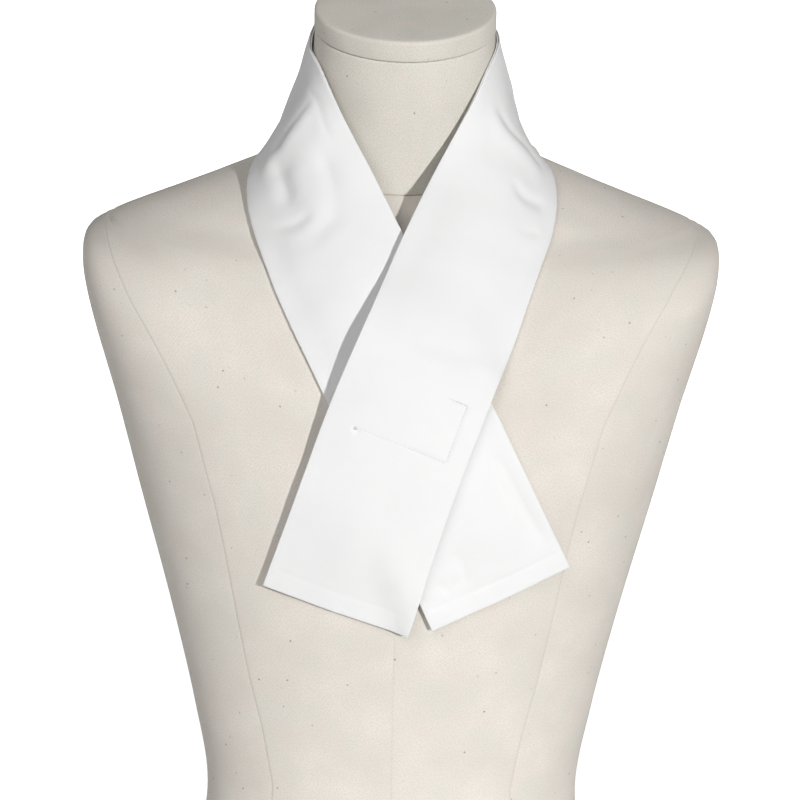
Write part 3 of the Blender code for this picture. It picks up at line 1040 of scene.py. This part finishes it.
    fine_along: tuple = (-470, -458, 328, 365, 459, 471)
    fine_across: tuple = (0, 20.5, 75.5, 88)
    rim_round: float = 0.42
    edge_drop: float = 0.22
    pucker_height: float = 0.1
    pucker_length: float = 9.0
    pucker_sway: float = 1.7
    pucker_sway_length: float = 23.0
    pucker_reach: float = 3.5
    edge_reach: float = 0.9
    inner_share: float = 0.3
    step_growth: float = 0.22
    fine_reach: float = 2.0
    spacing_samples: int = 6000
    middle: np.ndarray = field(default=None, repr=False)
    along: np.ndarray = field(default=None, repr=False)
    across: np.ndarray = field(default=None, repr=False)

    def stations(self) -> tuple:
        """All rows of the band, from the end that lies under to the end that lies over."""
        under = tuple((-row[0], *row[1:]) for row in reversed(self.under_stations))
        return (*under, self.back_middle, *self.over_stations)

    def fold_height(self, along: float, across: float) -> float:
        """How far the largest folds together lift the cloth at a place."""
        height = 0.0
        for fold_along, fold_across, heading, length, half_width, rise in self.folds:
            turn = math.radians(heading)
            down, side = along - fold_along, across - fold_across
            run = (down * math.cos(turn) + side * math.sin(turn)) / (length / 2)
            beside = (side * math.cos(turn) - down * math.sin(turn)) / half_width
            height += rise * math.exp(-beside**2) * max(0.0, 1 - run**2) ** 2
        return height

    def cage(self) -> np.ndarray:
        """The middle of the band's thickness as the stations lay it: rows along it, points across."""
        rows = self.stations()
        places = np.linspace(rows[0][0], rows[-1][0], self.cage_rows + 1)
        grid = np.zeros((len(places), self.cage_columns + 1, 3))
        for number, along in enumerate(places):
            values = smooth_row(rows, along)
            inner, outer, bow = values[0:3], values[3:6], values[6]
            ahead = smooth_row(rows, min(rows[-1][0], along + 1))
            behind = smooth_row(rows, max(rows[0][0], along - 1))
            run = ahead[0:3] + ahead[3:6] - behind[0:3] - behind[3:6]
            out = np.cross(run, outer - inner)
            out /= np.linalg.norm(out)
            for column in range(self.cage_columns + 1):
                part = column / self.cage_columns
                rise = bow * math.sin(math.pi * part) + self.fold_height(along, part * self.width)
                grid[number, column] = inner + (outer - inner) * part + out * rise
        return grid

    @staticmethod
    def clear_of(points: np.ndarray, tree: BVHTree, gap: float, reach: float,
                 softness: float) -> np.ndarray:
        """Points moved out of a surface until they stand off by a gap, faded out beside the surface.

        Args:
            points: Places in mm, in any grid.
            tree: The surface.
            gap: How far off they stay.
            reach: How far beside the surface it still counts.
            softness: How gently the points come to rest on it.

        Returns:
            The moved points, in the same grid.
        """
        moved = points.reshape(-1, 3).copy()
        for number, place in enumerate(moved):
            point = Vector(place)
            nearest, normal, _, _ = tree.find_nearest(point)
            away = point - nearest
            height = away.dot(normal)
            aside = away - normal * height
            wanted = gap * max(0.0, 1 - (aside.length / reach) ** 2)
            if wanted > 0:
                rest = (height + wanted + math.hypot(height - wanted, softness)) / 2
                moved[number] = nearest + aside + normal * rest
        return moved.reshape(points.shape)

    def settled(self, grid: np.ndarray, form: BVHTree, softness: float) -> np.ndarray:
        """The band clear of the form all over, and its upper end clear of the end below it.

        Args:
            grid: Rows along the band, points across.
            form: What the band lies on.
            softness: How gently it comes to rest.

        Returns:
            The settled grid.
        """
        clearance = self.rest_gap + self.cloth_thick + self.ply_gap / 2
        rows = self.clear_of(grid, form, clearance, self.form_reach, softness)
        if self.along is None:
            lengths = np.linspace(self.stations()[0][0], self.stations()[-1][0], len(rows))
        else:
            lengths = self.along
        span = lengths[-1] - lengths[0]
        below = rows[lengths <= lengths[0] + span * self.under_share]
        above = lengths >= lengths[-1] - span * self.under_share
        count, width = below.shape[:2]
        corners = [(i * width + j, (i + 1) * width + j, (i + 1) * width + j + 1, i * width + j + 1)
                   for i in range(count - 1) for j in range(width - 1)]
        under = BVHTree.FromPolygons([Vector(place) for place in below.reshape(-1, 3)], corners)
        rows[above] = self.clear_of(rows[above], under, self.crossing_gap, self.crossing_reach, softness)
        return rows

    def eased(self, grid: np.ndarray) -> np.ndarray:
        """The cage with its points drawn towards their neighbours along the band, ends kept."""
        for _ in range(self.ease_passes):
            grid = np.concatenate((grid[:1], (grid[:-2] + 2 * grid[1:-1] + grid[2:]) / 4, grid[-1:]))
        return grid

    def spaced(self, start: float, end: float, fine_places: tuple) -> np.ndarray:
        """Places from start to end, close together near the fine places and further apart elsewhere."""
        fine = np.linspace(start, end, self.spacing_samples)
        away = np.min([np.abs(fine - place) for place in fine_places], axis=0)
        grown = self.fine_step + self.step_growth * np.maximum(0, away - self.fine_reach)
        step = np.clip(grown, self.fine_step, self.coarse_step)
        count = np.concatenate(((0.0,), np.cumsum((1 / step[1:]) * np.diff(fine))))
        whole = math.ceil(count[-1])
        return np.interp(np.linspace(0, count[-1], whole + 1), count, fine)

    @staticmethod
    def refined(grid: np.ndarray, places: np.ndarray) -> np.ndarray:
        """Rows of a grid at finer places, on a smooth curve through the old rows.

        Args:
            grid: The old rows, evenly spaced along the first index.
            places: The new rows' places, as numbers of old rows.

        Returns:
            The new rows.
        """
        padded = np.concatenate((2 * grid[:1] - grid[1:2], grid, 2 * grid[-1:] - grid[-2:-1]))
        whole = np.clip(places.astype(int), 0, len(grid) - 2)
        part = (places - whole).reshape(-1, *([1] * (grid.ndim - 1)))
        a, b, c, d = (padded[whole + step] for step in range(4))
        return b + 0.5 * part * (c - a + part * (2 * a - 5 * b + 4 * c - d + part * (3 * (b - c) + d - a)))

    def lay(self, form: BVHTree) -> None:
        """Lay the band's middle surface on the form, coarse first and then with its creases."""
        solid = tree_of(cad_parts["form_torso"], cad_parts["form_neck"])
        cage = self.settled(self.cage(), solid, self.cage_softness)
        cage = self.settled(self.eased(cage), solid, self.cage_softness)
        first, last = self.stations()[0][0], self.stations()[-1][0]
        self.along = self.spaced(first, last, self.fine_along)
        self.across = self.spaced(0.0, self.width, self.fine_across)
        rows = self.refined(cage, (self.along - first) / (last - first) * self.cage_rows)
        grid = self.refined(rows.transpose(1, 0, 2), self.across / self.width * self.cage_columns)
        grid = grid.transpose(1, 0, 2)
        down, side = np.meshgrid(self.along, self.across, indexing="ij")
        lift = self.ripples.lift(down, side)
        for crease in self.creases:
            lift += crease.lift(down, side)
        grid = grid + self.out_of(grid) * lift[..., None]
        self.middle = self.settled(grid, form, self.cloth_softness)

    @staticmethod
    def out_of(grid: np.ndarray) -> np.ndarray:
        """The band's outward direction at each point of a grid with rows along it."""
        return surface_normals(grid.transpose(1, 0, 2)).transpose(1, 0, 2)

    def edge_relief(self, down: np.ndarray, side: np.ndarray) -> np.ndarray:
        """How far a ply's outer side dips at its turned edges and puckers along them."""
        across = np.minimum(side, self.width - side)
        ends = np.minimum(down - self.along[0], self.along[-1] - down)
        away = np.minimum(across, ends)
        drop = -self.edge_drop * np.exp(-((away / self.edge_reach) ** 2))
        sway = self.pucker_sway * np.sin(down / self.pucker_sway_length)
        wave = np.sin(2 * math.pi * down / self.pucker_length + sway)
        return drop + self.pucker_height * wave * np.exp(-across / self.pucker_reach)

    def flat(self, down: np.ndarray, side: np.ndarray) -> np.ndarray:
        """The cut's flat coordinates in metres."""
        return np.stack((side, down), axis=-1) * MM

    def plies(self) -> tuple[bpy.types.Object, bpy.types.Object]:
        """The two plies, each a thin shell with turned edges, a gap apart.

        Returns:
            The ply that shows and the ply that lies against the form.
        """
        down, side = np.meshgrid(self.along, self.across, indexing="ij")
        out = self.out_of(self.middle)
        near, far = self.ply_gap / 2, self.ply_gap / 2 + self.cloth_thick
        relief = self.edge_relief(down, side)
        marks = sum(mark.lift(down, side) for mark in (*self.face_marks, *Fastening.furrows()))

        def moved(height: np.ndarray | float) -> np.ndarray:
            """The middle surface moved out, with its first index across the band."""
            lifted = self.middle + out * (np.zeros(down.shape) + height)[..., None]
            return lifted.transpose(1, 0, 2)

        uv = self.flat(down, side).transpose(1, 0, 2)
        share = self.inner_share
        face = shell_piece("collar_face_cloth", moved(far + relief + marks),
                           moved(near - share * relief + share * marks), uv, self.rim_round)
        facing = shell_piece("collar_facing_cloth", moved(-near + share * relief),
                             moved(-far - relief), uv, self.rim_round)
        return face, facing

    def at(self, along: np.ndarray, across: np.ndarray) -> tuple[np.ndarray, np.ndarray]:
        """Points of the middle surface and their outward directions.

        Args:
            along: Distances along the band, in mm.
            across: Distances across it, in mm.

        Returns:
            The points in mm, and unit vectors.
        """
        down = np.interp(along, self.along, np.arange(len(self.along)))
        side = np.interp(across, self.across, np.arange(len(self.across)))
        i = np.clip(down.astype(int), 0, len(self.along) - 2)
        j = np.clip(side.astype(int), 0, len(self.across) - 2)
        a, b = (down - i)[..., None], (side - j)[..., None]
        found = []
        for grid in (self.middle, self.out_of(self.middle)):
            low = grid[i, j] * (1 - b) + grid[i, j + 1] * b
            high = grid[i + 1, j] * (1 - b) + grid[i + 1, j + 1] * b
            found.append(low * (1 - a) + high * a)
        return found[0], found[1]

    def build(self, form: BVHTree) -> None:
        """Lay the band and dress its two plies."""
        self.lay(form)
        cotton = CottonFinish().material()
        face, facing = self.plies()
        settle(face, ("collar_face",), "white_cotton", cotton)
        settle(facing, ("collar_facing",), "white_cotton", cotton)


@dataclass
class Fastening:
    """The hook and loop pads between the crossed ends, and the stitching that holds the upper one."""

    hook_pitch: float = 0.0011
    loop_pitch: float = 0.0007
    pad_along: tuple = (328.0, 365.0)
    pad_across: tuple = (20.5, 75.5)
    pad_thick: float = 1.2
    pad_corner: float = 3.0
    pad_gap: float = 0.3
    pad_step: float = 1.2
    pad_rim: float = 0.3
    stitch_length: float = 2.5
    stitch_gap: float = 0.3
    thread: float = 0.4
    stitch_dip: float = 0.3
    stitch_rises: tuple = (-0.11, -0.12, -0.3, -0.11)
    stitch_line: tuple = ((328.5, 20.5), (366.0, 21.0), (364.5, 76.0), (327.0, 75.5), (328.5, 20.5))
    stitch_sides: int = 8
    stitch_rings: int = 6
    thread_sink: float = 0.1
    furrow_depths: tuple = (-0.04, -0.22, -0.75, -0.04)
    furrow_half_width: float = 0.95
    furrow_fade: float = 0.02
    pulled_places: tuple = (
        Crease(((327.6, 62.0), (326.6, 80.0)), 1.2, -0.4, 0.2),
        Crease(((365.2, 52.0), (364.5, 76.5)), 1.1, -0.5, 0.1),
        Crease(((366.4, 17.5), (368.2, 22.0)), 1.3, -0.9, 0.1),
    )
    tack_count: int = 4
    tack_start: float = 1.0
    tack_step: float = 2.6
    tack_aside: float = 0.45
    tack_rise: float = 0.12
    knot_place: tuple = (366.6, 19.6)
    knot_rise: float = 0.3
    knot_half_sizes: tuple = (1.0, 0.8, 0.8)

    @classmethod
    def furrows(cls) -> tuple:
        """The furrows that the stitching draws in the cloth, stronger where it was pulled tight."""
        line = cls.stitch_line
        sides = tuple(Crease((start, end), cls.furrow_half_width, depth, cls.furrow_fade)
                      for start, end, depth in zip(line, line[1:], cls.furrow_depths))
        return (*sides, *cls.pulled_places)

    def pad(self, band: CollarBand, name: str, top: float) -> bpy.types.Object:
        """A thin pad with rounded corners behind the upper end.

        Args:
            band: The band that it follows.
            name: The pad's name.
            top: How far its upper side lies below the band's middle surface, in mm.

        Returns:
            The pad.
        """
        low, high = self.pad_along, self.pad_across
        down = np.linspace(*low, round((low[1] - low[0]) / self.pad_step) + 1)
        side = np.linspace(*high, round((high[1] - high[0]) / self.pad_step) + 1)
        along, across = np.meshgrid(down, side, indexing="ij")
        centre = np.array((sum(low) / 2, sum(high) / 2))
        half = np.array((low[1] - low[0], high[1] - high[0])) / 2 - self.pad_corner
        off = np.stack((along, across), axis=-1) - centre
        past = off - np.clip(off, -half, half)
        reach = np.linalg.norm(past, axis=-1, keepdims=True)
        square = np.maximum(np.abs(past).max(axis=-1, keepdims=True), TINY)
        past = np.where(reach > TINY, past * square / np.maximum(reach, TINY), past)
        off = np.clip(off, -half, half) + past
        along, across = off[..., 0] + centre[0], off[..., 1] + centre[1]
        points, out = band.at(along, across)
        upper = (points - out * top).transpose(1, 0, 2)
        lower = (points - out * (top + self.pad_thick)).transpose(1, 0, 2)
        uv = band.flat(along, across).transpose(1, 0, 2)
        return shell_piece(name, upper, lower, uv, self.pad_rim)

    def stitches(self, band: CollarBand) -> bpy.types.Object:
        """The stitched rectangle, sewn back over its start, with the knot where it ends.

        Args:
            band: The band whose face it is sewn through.

        Returns:
            All stitches as one piece.
        """
        deselect_all()
        bpy.ops.mesh.primitive_uv_sphere_add(segments=self.stitch_sides, ring_count=self.stitch_rings,
                                             radius=1)
        pattern = bpy.context.object
        shape = np.zeros(len(pattern.data.vertices) * 3)
        pattern.data.vertices.foreach_get("co", shape)
        shape = shape.reshape(-1, 3)[:, [2, 0, 1]]
        faces = [tuple(face.vertices) for face in pattern.data.polygons]
        bpy.data.objects.remove(pattern, do_unlink=True)
        height = band.ply_gap / 2 + band.cloth_thick - self.thread_sink
        all_points: list[np.ndarray] = []
        spots: list[tuple] = []
        for start, end, rise in zip(self.stitch_line, self.stitch_line[1:], self.stitch_rises):
            start, end = np.array(start), np.array(end)
            length = np.linalg.norm(end - start)
            count = round(length / (self.stitch_length + self.stitch_gap))
            for number in range(count):
                spots.append((start + (end - start) * (number + 0.5) / count, (end - start) / length, rise))
        corner, run = np.array(self.stitch_line[3]), np.array((0.0, 1.0))
        for number in range(self.tack_count):
            back = corner - run * (self.tack_start + number * self.tack_step)
            spots.append((back + np.array((self.tack_aside, 0)), run, self.tack_rise))
        for middle, run, rise in spots:
            pair = np.array((middle, middle + run * 0.5))
            place, out = band.at(pair[:, 0], pair[:, 1])
            forward = place[1] - place[0]
            forward /= np.linalg.norm(forward)
            aside = np.cross(out[0], forward)
            bend = -self.stitch_dip * shape[:, 0] ** 2
            all_points.append(
                place[0] + out[0] * (height + rise)
                + forward * shape[:, :1] * self.stitch_length / 2
                + aside * shape[:, 1:2] * self.thread / 2
                + out[0] * (shape[:, 2:] * self.thread / 2 + bend[:, None]))
        knot, out = band.at(*(np.array((place,)) for place in self.knot_place))
        all_points.append(knot[0] + out[0] * (height + self.knot_rise)
                          + shape * np.array(self.knot_half_sizes))
        points = np.concatenate(all_points)
        count = len(shape)
        turned = [tuple(corner + number * count for corner in face)
                  for number in range(len(all_points)) for face in faces]
        mesh = bpy.data.meshes.new("stitched_rectangle")
        mesh.from_pydata(to_frame(points).tolist(), [], turned)
        piece = bpy.data.objects.new("stitched_rectangle", mesh)
        bpy.context.scene.collection.objects.link(piece)
        make_active(piece)
        bpy.ops.object.mode_set(mode="EDIT")
        bpy.ops.mesh.select_all(action="SELECT")
        bpy.ops.mesh.normals_make_consistent(inside=False)
        bpy.ops.object.mode_set(mode="OBJECT")
        mesh.shade_smooth()
        return piece

    def build(self, band: CollarBand) -> None:
        """Build and dress the pads and the stitching."""
        hook_top = band.ply_gap / 2 + band.cloth_thick + self.pad_gap
        loop_top = hook_top + self.pad_thick + self.pad_gap
        for name, node, top, pitch, under in (
            ("hook_tape", "hook_pad", hook_top, self.hook_pitch, "collar_facing_cloth"),
            ("loop_tape", "loop_pad", loop_top, self.loop_pitch, "collar_face_cloth"),
        ):
            piece = self.pad(band, name, top)
            settle(piece, (node,), "fastening_tape", TapeFinish(f"{name}_nap", pitch).material())
        settle(self.stitches(band), (), "white_cotton", ThreadFinish().material())


@dataclass(frozen=True)
class FarLight:
    """A far light, which lights the whole scene from one side.

    Attributes:
        name: The light's name.
        strength: How strong it is.
        side: Its direction in degrees to the viewer's right of the form's front.
        height: Its height in degrees.
        angle: How wide it looks, in degrees, which softens its shadows.
    """

    name: str
    strength: float
    side: float
    height: float
    angle: float

    def build(self) -> None:
        """Hang the light."""
        turn, lift = math.radians(self.side), math.radians(self.height)
        towards = Vector((math.sin(turn) * math.cos(lift), -math.cos(turn) * math.cos(lift),
                          math.sin(lift)))
        light = bpy.data.lights.new(self.name, "SUN")
        light.energy, light.angle = self.strength, math.radians(self.angle)
        lamp = bpy.data.objects.new(self.name, light)
        lamp.rotation_euler = towards.to_track_quat("Z", "Y").to_euler()
        bpy.context.scene.collection.objects.link(lamp)


@dataclass
class Studio:
    """Pale sweep, soft lights and the camera."""

    target: tuple = (0.001, -0.0495, 0.383)
    distance: float = 2.0
    elevation: float = 6.0
    roll: float = 1.06
    lens: float = 151.97
    sensor: float = 36.0
    sweep_half: float = 1.3
    sweep_front: float = -2.4
    sweep_back: float = 4.6
    sweep_height: float = 5.0
    sweep_bend: float = 1.6
    paper: tuple = (0.93, 0.93, 0.93, 1)
    paper_shade: float = 0.985
    paper_roughness: float = 0.9
    paper_gloss: float = 0.1
    bend_steps: int = 24
    clip: tuple = (0.05, 60)
    paper_glow: float = 0.8
    floor_glow: float = 0.03
    glow_from: float = 0.2
    glow_to: float = 0.6
    sky: float = 0.03
    sky_seen: float = 1.0
    lights: tuple = (
        FarLight("key", 2.25, 27, 6, 2.6),
        FarLight("fill", 1.04, -22, 28, 50),
        FarLight("left_side", 0.36, -100, 5, 50),
        FarLight("right_side", 0.30, 120, 5, 50),
    )

    def camera(self) -> None:
        """The camera at the photograph's angle, turned by a small roll."""
        lean, turn = math.radians(self.elevation), math.radians(self.roll)
        back = Vector((0, -math.cos(lean), math.sin(lean)))
        side, up = Vector((1, 0, 0)), Vector((0, math.sin(lean), math.cos(lean)))
        right = side * math.cos(turn) + up * math.sin(turn)
        above = up * math.cos(turn) - side * math.sin(turn)
        data = bpy.data.cameras.new("camera")
        data.lens, data.sensor_width = self.lens, self.sensor
        data.clip_start, data.clip_end = self.clip
        piece = bpy.data.objects.new("camera", data)
        bpy.context.scene.collection.objects.link(piece)
        place = Matrix((right, above, back)).transposed().to_4x4()
        place.translation = Vector(self.target) + back * self.distance
        piece.matrix_world = place
        bpy.context.scene.camera = piece

    def sweep(self) -> None:
        """A sheet of pale paper that runs from the floor up behind the form."""
        deselect_all()
        middle, half = (self.sweep_back + self.sweep_front) / 2, (self.sweep_back - self.sweep_front) / 2
        bpy.ops.mesh.primitive_plane_add(size=2, location=(0, middle, 0))
        piece = bpy.context.object
        piece.scale = (self.sweep_half, half, 1)
        piece.name = piece.data.name = "studio_sweep"
        bpy.ops.object.transform_apply(location=True, rotation=True, scale=True)
        pick(piece, "EDGE", lambda edge: all(piece.data.vertices[corner].co.y > self.sweep_back - CENTIMETRE
                                             for corner in edge.vertices))
        bpy.ops.mesh.extrude_region_move(TRANSFORM_OT_translate={"value": (0, 0, self.sweep_height)})
        bpy.ops.object.mode_set(mode="OBJECT")
        apply_modifier(piece, "BEVEL", width=self.sweep_bend, segments=self.bend_steps,
                       limit_method="ANGLE", angle_limit=RIM_ANGLE)
        piece.data.shade_smooth()
        graph = Graph("studio_paper")
        where = graph.node("ShaderNodeTexCoord").outputs["Object"]
        tone = graph.spread(graph.noise(where, 0.9), 0.2, 0.8)
        pale = tuple(value * self.paper_shade for value in self.paper[:3]) + (1,)
        graph.feed(graph.shader.inputs["Base Color"], graph.blend(tone, self.paper, pale))
        graph.shader.inputs["Roughness"].default_value = self.paper_roughness
        graph.shader.inputs["Specular IOR Level"].default_value = self.paper_gloss
        graph.shader.inputs["Emission Color"].default_value = (1, 1, 1, 1)
        behind = graph.node("ShaderNodeSeparateXYZ", {"Vector": where}).outputs["Y"]
        graph.feed(graph.shader.inputs["Emission Strength"],
                   graph.spread(behind, self.glow_from, self.glow_to, self.floor_glow, self.paper_glow))
        piece.data.materials.append(graph.material)

    def sky_and_lights(self) -> None:
        """The far lights and a very dim even sky, which the camera sees as white."""
        for light in self.lights:
            light.build()
        world = bpy.data.worlds.new("studio")
        world.use_nodes = True
        nodes, links = world.node_tree.nodes, world.node_tree.links
        nodes["Background"].inputs["Color"].default_value = (1, 1, 1, 1)
        seen = nodes.new("ShaderNodeMapRange")
        seen.inputs["To Min"].default_value, seen.inputs["To Max"].default_value = self.sky, self.sky_seen
        links.new(nodes.new("ShaderNodeLightPath").outputs["Is Camera Ray"], seen.inputs["Value"])
        links.new(seen.outputs[0], nodes["Background"].inputs["Strength"])
        bpy.context.scene.world = world

    def build(self) -> None:
        """Set up the whole studio."""
        bpy.context.scene.view_settings.view_transform = "Standard"
        self.camera()
        self.sweep()
        self.sky_and_lights()


def main() -> None:
    """Build the studio, the form, the band and its fastening, in that order."""
    logging.basicConfig(level=logging.INFO, format="%(name)s: %(message)s")
    Studio().build()
    form = DressForm().build()
    band = CollarBand()
    band.build(form)
    Fastening().build(band)


if __name__ == "__main__":
    main()
